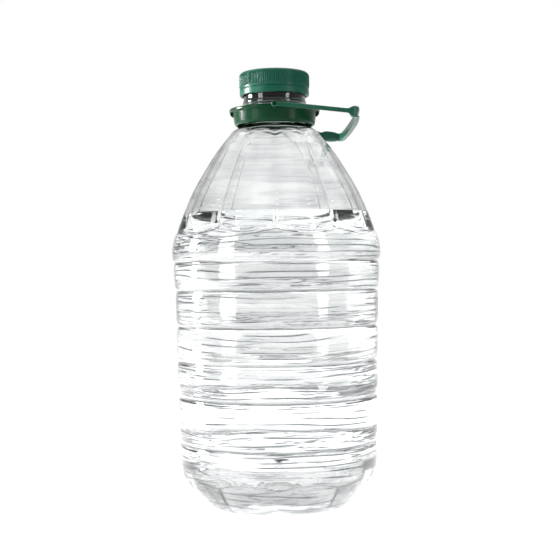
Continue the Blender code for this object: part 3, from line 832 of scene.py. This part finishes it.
@dataclass
class Cap:
    """The screw cap: rounded top, fine upright ribs, slit and tamper band."""

    top: float = 0.3300
    dish: float = 0.0002
    dish_radii: Pair = (0.55, 0.80)
    radius: float = 0.0266
    edge: float = 0.0027
    bottom: float = 0.3120
    bore: float = 0.0249
    roof: float = 0.0023
    foot_round: float = 0.0003
    slit: float = 0.0004
    slit_depth: float = 0.0009
    band_top: float = 0.3169
    band_radius: float = 0.0267
    band_round: Pair = (0.0004, 0.0006)
    rib_count: int = 120
    rib_radius: float = 0.00046
    rib_sink: float = 0.00002
    rib_foot: float = 0.0011
    rib_head: float = 0.62
    rib_taper: tuple[Pair, ...] = ((0.0, 0.15), (1.0, 0.10), (0.10, 1.0), (0.80, 1.0))
    rib_rows: int = 9
    rib_sides: int = 8
    steps: int = 240

    def outline(self) -> list[Pair]:
        """List the section from the top's middle round to the roof inside.

        Returns:
            Points of (radius, height).
        """
        crown, foot = self.top - self.dish, self.band_top + self.slit
        upper, lower = self.band_round
        points = [(0.0, crown), (self.radius * self.dish_radii[0], crown)]
        points += [(self.radius * self.dish_radii[1], self.top - self.dish / 2.0)]
        points += arc((self.radius - self.edge, self.top - self.edge), self.edge, 90.0, 0.0, 8)
        points += [(self.radius, foot + self.slit)]
        points += arc((self.radius - self.foot_round, foot + self.foot_round), self.foot_round, 0.0, -90.0, 3)
        points += [(self.band_radius - self.slit_depth, foot), (self.band_radius - self.slit_depth, self.band_top)]
        points += arc((self.band_radius - upper, self.band_top - upper), upper, 90.0, 0.0, 4)
        points += arc((self.band_radius - lower, self.bottom + lower), lower, 0.0, -90.0, 4)
        points += [(self.bore, self.bottom), (self.bore, self.top - self.roof), (0.0, self.top - self.roof)]
        return points

    def rib_tree(self, material: Material) -> Tree:
        """Build the node tree that sets upright tapered ribs round the cap.

        Args:
            material: The ribs' finish.

        Returns:
            A tree with inputs Count, Ring Radius, Rib Radius, Foot and Head.
        """
        tree, entry, leave = new_group(
            "cap_ribs",
            {"Geometry": ("Geometry",), "Int": ("Count",), "Float": ("Ring Radius", "Rib Radius", "Foot", "Head")},
            {"Geometry": ("Geometry",)}, "GeometryNodeTree")
        along = tree.nodes.new("GeometryNodeSplineParameter").outputs["Factor"]
        taper = add_node(tree, "ShaderNodeFloatCurve", {"Value": along})
        curve = taper.mapping.curves[0]
        curve.points[0].location, curve.points[1].location = self.rib_taper[:2]
        for spot in self.rib_taper[2:]:
            curve.points.new(*spot)
        foot, head = (add_node(tree, "ShaderNodeCombineXYZ", {"Z": entry[end]}).outputs[0] for end in ("Foot", "Head"))
        line = add_node(tree, "GeometryNodeCurvePrimitiveLine", {"Start": foot, "End": head}).outputs[0]
        path = add_node(tree, "GeometryNodeResampleCurve", {"Curve": line, "Count": self.rib_rows}).outputs[0]
        section = add_node(tree, "GeometryNodeCurvePrimitiveCircle",
                           {"Resolution": self.rib_sides, "Radius": entry["Rib Radius"]}).outputs[0]
        rib = add_node(tree, "GeometryNodeCurveToMesh", {"Curve": path, "Profile Curve": section,
                                                         "Scale": taper.outputs[0], "Fill Caps": True}).outputs[0]
        circle = add_node(tree, "GeometryNodeMeshCircle",
                          {"Vertices": entry["Count"], "Radius": entry["Ring Radius"]}).outputs[0]
        spread = add_node(tree, "GeometryNodeInstanceOnPoints", {"Points": circle, "Instance": rib}).outputs[0]
        real = add_node(tree, "GeometryNodeRealizeInstances", {"Geometry": spread}).outputs[0]
        finish = add_node(tree, "GeometryNodeSetMaterial", {"Geometry": real, "Material": material}).outputs[0]
        feed(tree, leave, {"Geometry": finish})
        return tree

    def ribs(self, material: Material) -> Object:
        """Bake the ribs to a plain mesh piece.

        Args:
            material: The ribs' finish.

        Returns:
            The piece.
        """
        tree = self.rib_tree(material)
        seed = bpy.data.objects.new("cap_rib_seed", bpy.data.meshes.new("cap_rib_seed"))
        bpy.context.scene.collection.objects.link(seed)
        step = seed.modifiers.new("ribs", "NODES")
        step.node_group = tree
        values = {"Count": self.rib_count, "Ring Radius": self.radius - self.rib_sink, "Rib Radius": self.rib_radius,
                  "Foot": self.band_top + self.rib_foot, "Head": self.top - self.edge * self.rib_head}
        for socket in tree.interface.items_tree:
            if socket.in_out == "INPUT" and socket.name in values:
                step[socket.identifier] = values[socket.name]
        bpy.context.view_layer.update()
        graph = bpy.context.evaluated_depsgraph_get()
        mesh = bpy.data.meshes.new_from_object(seed.evaluated_get(graph))
        bpy.data.objects.remove(seed, do_unlink=True)
        return new_piece("cap_ribs", mesh, material, sharp=60.0)

    def build(self, material: Material) -> list[Object]:
        """Build the cap and its ribs.

        Args:
            material: The cap's finish.

        Returns:
            Both pieces, riding on the vessel.
        """
        work = bmesh.new()
        turn_outline(work, self.outline(), self.steps)
        shell = new_piece("cap_shell", work, material, sharp=55.0)
        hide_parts("cap")
        pieces = [shell, self.ribs(material)]
        for piece in pieces:
            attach(piece, Body.VESSEL.value)
        return pieces


# ---- collar


@dataclass
class Collar:
    """The collar round the neck: lip, skirt, four fins and two headed pins."""

    lip_top: float = 0.3019
    lip_bottom: float = 0.2993
    lip_radius: float = 0.0348
    lip_round: float = 0.0008
    bore: float = 0.0244
    bore_round: float = 0.0003
    bottom: float = 0.2892
    top_radius: float = 0.0321
    top_round: float = 0.0006
    foot_radius: float = 0.0312
    foot: tuple[Pair, ...] = (
        (0.0, 0.0026), (-0.0002, 0.0016), (-0.0006, 0.0008), (-0.0011, 0.0002), (-0.0016, 0.0), (-0.0021, 0.0004))
    wall: float = 0.0017
    web: float = 0.0016
    sleeve_bottom: float = 0.2936
    fin_root: float = 0.0010
    fin_short: float = 0.0004
    fin_turn: float = -75.0
    fin_thickness: float = 0.0012
    fin_drop: float = 0.0040
    fins: int = 4
    pivot: float = 0.3012
    rods: tuple[tuple[float, float, float, float], ...] = (
        (0.0021, 0.0310, 0.0350, 0.0005), (0.0010, 0.0340, 0.0390, 0.0001), (0.0017, 0.0382, 0.0390, 0.0003))
    rod_sides: int = 32
    steps: int = 160

    def outline(self) -> list[Pair]:
        """List the closed section of the ring.

        Returns:
            Points of (radius, height).
        """
        soft, turn, under = self.lip_round, self.top_round, self.lip_bottom - self.web
        points = [(self.bore, self.lip_top - self.bore_round), (self.bore + self.bore_round, self.lip_top)]
        points += arc((self.lip_radius - soft, self.lip_top - soft), soft, 90.0, 0.0, 5)
        points += arc((self.lip_radius - soft, self.lip_bottom + soft), soft, 0.0, -90.0, 5)
        points += arc((self.top_radius + turn, self.lip_bottom - turn), turn, 90.0, 180.0, 4)
        points += [(self.foot_radius + out, self.bottom + rise) for out, rise in self.foot]
        points += [(self.foot_radius - self.wall, self.bottom + self.foot[0][1]), (self.top_radius - self.wall, under),
                   (self.bore + self.wall, under), (self.bore + self.wall, self.sleeve_bottom),
                   (self.bore, self.sleeve_bottom)]
        return points

    def add_fin(self, work: Work, turn: float) -> None:
        """Add one rounded fin under the lip.

        Args:
            work: The work mesh that takes the faces.
            turn: The fin's angle round the collar.
        """
        root, reach = self.top_radius - self.fin_root, self.lip_radius - self.fin_short
        middle = (self.lip_top + self.lip_bottom) / 2.0
        outline = [(root, middle), (reach, middle)]
        outline += arc((root, self.lip_bottom), reach - root, 0.0, self.fin_turn, 8)
        outline += [(root, self.lip_bottom - self.fin_drop)]
        sides = []
        for offset in (-self.fin_thickness / 2.0, self.fin_thickness / 2.0):
            sides.append([work.verts.new((r * math.cos(turn) - offset * math.sin(turn),
                                          r * math.sin(turn) + offset * math.cos(turn), z)) for r, z in outline])
        work.faces.new(sides[0])
        work.faces.new(sides[1][::-1])
        bridge(work, sides[::-1])

    def build(self, material: Material) -> Object:
        """Build the collar.

        Args:
            material: The collar's finish.

        Returns:
            The piece, riding on the collar body.
        """
        work = bmesh.new()
        turn_outline(work, self.outline(), self.steps, closed=True)
        for fin in range(self.fins):
            self.add_fin(work, math.tau * fin / self.fins)
        for sign in (-1.0, 1.0):
            for radius, start, end, soft in self.rods:
                near, far, edge = sign * start, sign * end, sign * soft
                outline = [(0.0, near), (radius - soft, near), (radius, near + edge), (radius, far - edge),
                           (radius - soft * BEVEL, far - edge * BEVEL), (radius - soft, far), (0.0, far)]
                turn_outline(work, outline, self.rod_sides, level=self.pivot)
        ring = new_piece("collar_ring", work, material, sharp=45.0)
        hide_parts("collar")
        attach(ring, Body.COLLAR.value)
        return ring


# ---- bail


@dataclass
class Bail:
    """The carrying bail: thin arms, a channel-shaped grip and two eyes."""

    route: tuple[Triple, ...] = (
        (0.0010, -0.0366, 0.3012), (0.0120, -0.0376, 0.3000), (0.0300, -0.0415, 0.2975), (0.0490, -0.0458, 0.2947),
        (0.0570, -0.0464, 0.2936), (0.0606, -0.0420, 0.2924), (0.0606, -0.0250, 0.2902), (0.0592, 0.0000, 0.2884),
        (0.0566, 0.0250, 0.2861), (0.0538, 0.0420, 0.2850), (0.0500, 0.0464, 0.2856), (0.0400, 0.0466, 0.2868),
        (0.0310, 0.0446, 0.2902), (0.0140, 0.0390, 0.2966), (0.0010, 0.0366, 0.3012))
    end: float = 0.012
    reach: float = 0.004
    arm: Pair = (0.0031, 0.0026)
    block: Pair = (0.0079, 0.0044)
    grip: Pair = (0.0062, 0.0034)
    grip_web: float = 0.0016
    grip_rim: float = 0.0012
    grip_from: float = 0.268
    grip_to: float = 0.800
    grip_blend: float = 0.025
    waist_wait: float = 0.050
    waist_blend: float = 0.050
    soft: float = 0.0005
    tip: Pair = (0.6, 0.4)
    arm_web: float = 0.0003
    pivot: float = 0.3012
    eye_radius: float = 0.0022
    eye_bore: float = 0.0013
    eye_soft: float = 0.0003
    eye: Pair = (0.0353, 0.0379)
    eye_sides: int = 40
    stations: int = 180

    def point(self, share: float) -> Vector:
        """Read the middle line, a smooth curve through the route's points.

        Args:
            share: Place along the route, from 0 to 1.

        Returns:
            The point there.
        """
        spans = len(self.route) - 1
        place = min(max(share, 0.0), 1.0) * spans
        index = min(int(place), spans - 1)
        part = place - index
        near = [Vector(self.route[min(max(index + step, 0), spans)]) for step in (-1, 0, 1, 2)]
        second = (near[2] - near[0]) * part
        third = (near[0] * 2.0 - near[1] * 5.0 + near[2] * 4.0 - near[3]) * part ** 2
        fourth = (near[1] * 3.0 - near[0] - near[2] * 3.0 + near[3]) * part ** 3
        return (near[1] * 2.0 + second + third + fourth) * 0.5

    def section(self, share: float) -> list[Pair]:
        """List the section's points: a slim arm, a thick end block, then a channel.

        Args:
            share: Place along the route, from 0 to 1.

        Returns:
            Points of (outward, up).
        """
        blend, wait, fade = self.grip_blend, self.waist_wait, self.waist_blend
        first, last = self.grip_from + wait, self.grip_to - wait
        wide = float(smooth_step(self.grip_from - blend, self.grip_from + blend, share)
                     * (1.0 - smooth_step(self.grip_to - blend, self.grip_to + blend, share)))
        waist = float(smooth_step(first, first + fade, share) * (1.0 - smooth_step(last - fade, last, share)))
        height, depth = (end + (middle - end) * waist for end, middle in zip(self.block, self.grip))
        tall, deep = ((arm + (size - arm) * wide) / 2.0 for arm, size in zip(self.arm, (height, depth)))
        soft, nip = self.soft, self.soft * BEVEL
        web = deep - (self.arm_web + (depth - self.grip_web - self.arm_web) * wide * waist)
        rim = tall - (soft + (self.grip_rim - soft) * wide)
        tip = min(soft * self.tip[0], (tall - rim) * self.tip[1])
        lower = [(-deep, -tall + soft), (-deep + nip, -tall + nip), (-deep + soft, -tall), (deep - tip, -tall),
                 (deep, -tall + tip), (deep, -rim - tip), (deep - tip, -rim), (web, -rim)]
        return lower + [(out, -up) for out, up in reversed(lower)]

    def build(self, material: Material) -> Object:
        """Build the bail.

        Args:
            material: The bail's finish.

        Returns:
            The piece, riding on the bail body.
        """
        work = bmesh.new()
        rings = []
        for station in range(self.stations + 1):
            share = self.end + (1.0 - 2.0 * self.end) * station / self.stations
            middle = self.point(share)
            ahead = (self.point(share + self.reach) - self.point(share - self.reach)).normalized()
            outward = ahead.cross(Vector((0.0, 0.0, 1.0))).normalized()
            up = outward.cross(ahead)
            rings.append([work.verts.new(middle + outward * out + up * rise) for out, rise in self.section(share)])
        bridge(work, rings)
        work.faces.new(rings[0])
        work.faces.new(rings[-1])
        flank = self.eye_radius - self.eye_soft
        for sign in (-1.0, 1.0):
            near, far, soft = (sign * place for place in (*self.eye, self.eye_soft))
            outline = [(self.eye_bore, near), (flank, near), (self.eye_radius, near + soft),
                       (self.eye_radius, far - soft), (flank, far), (self.eye_bore, far)]
            turn_outline(work, outline, self.eye_sides, closed=True, level=self.pivot)
        strap = new_piece("bail_strap", work, material, sharp=50.0)
        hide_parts("handle")
        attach(strap, Body.BAIL.value)
        return strap


# ---- studio


@dataclass
class Studio:
    """Pale floor, soft light and the camera."""

    distance: float = 0.85
    camera_height: float = 0.181
    aside: float = 0.0026
    pitch: float = 0.71
    roll: float = 0.7
    lens: float = 70.69
    floor_half: float = 6.0
    floor_tone: float = 0.90
    ramp_top: float = 4.0
    around: tuple[Pair, ...] = (
        (-180.0, 0.40), (-120.0, 0.46), (-70.0, 0.50), (-40.0, 0.84), (-22.0, 1.0), (22.0, 1.0), (40.0, 0.84),
        (70.0, 0.52), (120.0, 0.46), (180.0, 0.40))
    above: tuple[Pair, ...] = (
        (-1.0, 1.0), (0.0, 1.0), (0.06, 1.0), (0.14, 0.72), (0.22, 0.50), (0.42, 0.56), (0.56, 0.78), (0.75, 2.6),
        (1.0, 3.6))
    aim: Triple = (0.0, 0.0, 0.17)
    lights: tuple[tuple[str, Triple, Pair, float], ...] = (
        ("strip_left", (-0.97, -0.71, 0.30), (0.38, 1.4), 8.5), ("strip_right", (0.93, -0.76, 0.30), (0.26, 1.4), 5.5),
        ("key_left", (-1.10, 0.20, 0.43), (0.20, 0.34), 34.0))

    def floor(self) -> Object:
        """Lay the pale floor.

        Returns:
            The floor.
        """
        work = bmesh.new()
        bmesh.ops.create_grid(work, x_segments=24, y_segments=24, size=self.floor_half)
        mesh = bpy.data.meshes.new("studio_floor")
        work.to_mesh(mesh)
        work.free()
        material = bpy.data.materials.new("studio_floor")
        material.use_nodes = True
        tree = material.node_tree
        feed(tree, tree.nodes["Principled BSDF"], {"Base Color": (self.floor_tone,) * 3, "Roughness": 0.9})
        floor = new_piece("studio_floor", mesh, material)
        return floor

    def grey(self, tone: float) -> tuple[float, ...]:
        """Read a brightness as a ramp's colour."""
        return (tone / self.ramp_top,) * 3 + (1.0,)

    def add_ramp(self, tree: Tree, value: Socket, stops: tuple[Pair, ...]) -> Socket:
        """Add a ramp of greys.

        Args:
            tree: The tree that takes it.
            value: What the ramp reads.
            stops: Pairs of (value, brightness), from the lowest.

        Returns:
            The grey, as a share of ramp_top.
        """
        low, high = stops[0][0], stops[-1][0]
        node = add_node(tree, "ShaderNodeValToRGB", {"Fac": add_range(tree, value, low, high, soft=False)})
        bar = node.color_ramp.elements
        bar[0].color, bar[1].color = self.grey(stops[0][1]), self.grey(stops[-1][1])
        for place, tone in stops[1:-1]:
            bar.new((place - low) / (high - low)).color = self.grey(tone)
        return node.outputs[0]

    def surround(self) -> None:
        """Set the studio's surround: a soft even room, dimmer behind the camera, on a white backdrop."""
        world = bpy.data.worlds.new("studio")
        bpy.context.scene.world = world
        world.use_nodes = True
        tree, nodes = world.node_tree, world.node_tree.nodes
        place = nodes.new("ShaderNodeTexCoord").outputs["Generated"]
        split = add_node(tree, "ShaderNodeSeparateXYZ", {0: place}).outputs
        turn = add_math(tree, "DEGREES", add_math(tree, "ARCTAN2", split["X"], split["Y"]))
        around, above = self.add_ramp(tree, turn, self.around), self.add_ramp(tree, split["Z"], self.above)
        both = add_blend(tree, 1.0, around, above, "MULTIPLY")
        room = feed(tree, nodes["Background"], {"Color": both, "Strength": self.ramp_top ** 2}).outputs[0]
        white = add_node(tree, "ShaderNodeBackground", {"Color": (1.0, 1.0, 1.0)}).outputs[0]
        seen = nodes.new("ShaderNodeLightPath").outputs["Is Camera Ray"]
        switch = add_node(tree, "ShaderNodeMixShader", {0: seen, 1: room, 2: white}).outputs[0]
        feed(tree, nodes["World Output"], {"Surface": switch})

    def light(self, name: str, place: Triple, size: Pair, power: float) -> None:
        """Hang one soft light that faces the bottle.

        Args:
            name: The light's name.
            place: Where it hangs.
            size: Its width and height.
            power: Its power in watts.
        """
        data = bpy.data.lights.new(name, "AREA")
        data.shape = "RECTANGLE"
        data.size, data.size_y = size
        data.energy = power
        lamp = bpy.data.objects.new(name, data)
        lamp.location = place
        lamp.rotation_euler = (Vector(self.aim) - Vector(place)).to_track_quat("-Z", "Y").to_euler()
        bpy.context.scene.collection.objects.link(lamp)

    def camera(self) -> None:
        """Place the camera in front, turned down by the pitch and round its own axis by the roll."""
        data = bpy.data.cameras.new("camera")
        data.lens = self.lens
        data.sensor_width = 36.0
        camera = bpy.data.objects.new("camera", data)
        down = Matrix.Rotation(math.radians(90.0 - self.pitch), 4, "X")
        roll = Matrix.Rotation(math.radians(-self.roll), 4, "Z")
        camera.matrix_world = Matrix.Translation((self.aside, -self.distance, self.camera_height)) @ (down @ roll)
        bpy.context.scene.collection.objects.link(camera)
        bpy.context.scene.camera = camera

    def build(self) -> None:
        """Set up the whole studio."""
        bpy.context.scene.view_settings.view_transform = "Standard"
        self.floor()
        self.surround()
        for name, place, size, power in self.lights:
            self.light(name, place, size, power)
        self.camera()


def main() -> None:
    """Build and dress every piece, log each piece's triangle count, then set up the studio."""
    logging.basicConfig(level=logging.INFO, format="%(message)s")
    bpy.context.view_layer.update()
    moulded, wobble = mould_group(), wave_group()
    form = BottleForm()
    pieces = [Bottle(form).build(CLEAR_WALL.make(wobble)), Water(form).build(STILL_WATER.make(wobble))]
    pieces += Cap().build(CAP_GREEN.make(moulded))
    pieces.append(Collar().build(COLLAR_GREEN.make(moulded)))
    pieces.append(Bail().build(BAIL_GREEN.make(moulded)))
    for piece in pieces:
        piece.data.calc_loop_triangles()
        LOG.info("%s: %d triangles", piece.name, len(piece.data.loop_triangles))
    Studio().build()


if __name__ == "__main__":
    main()
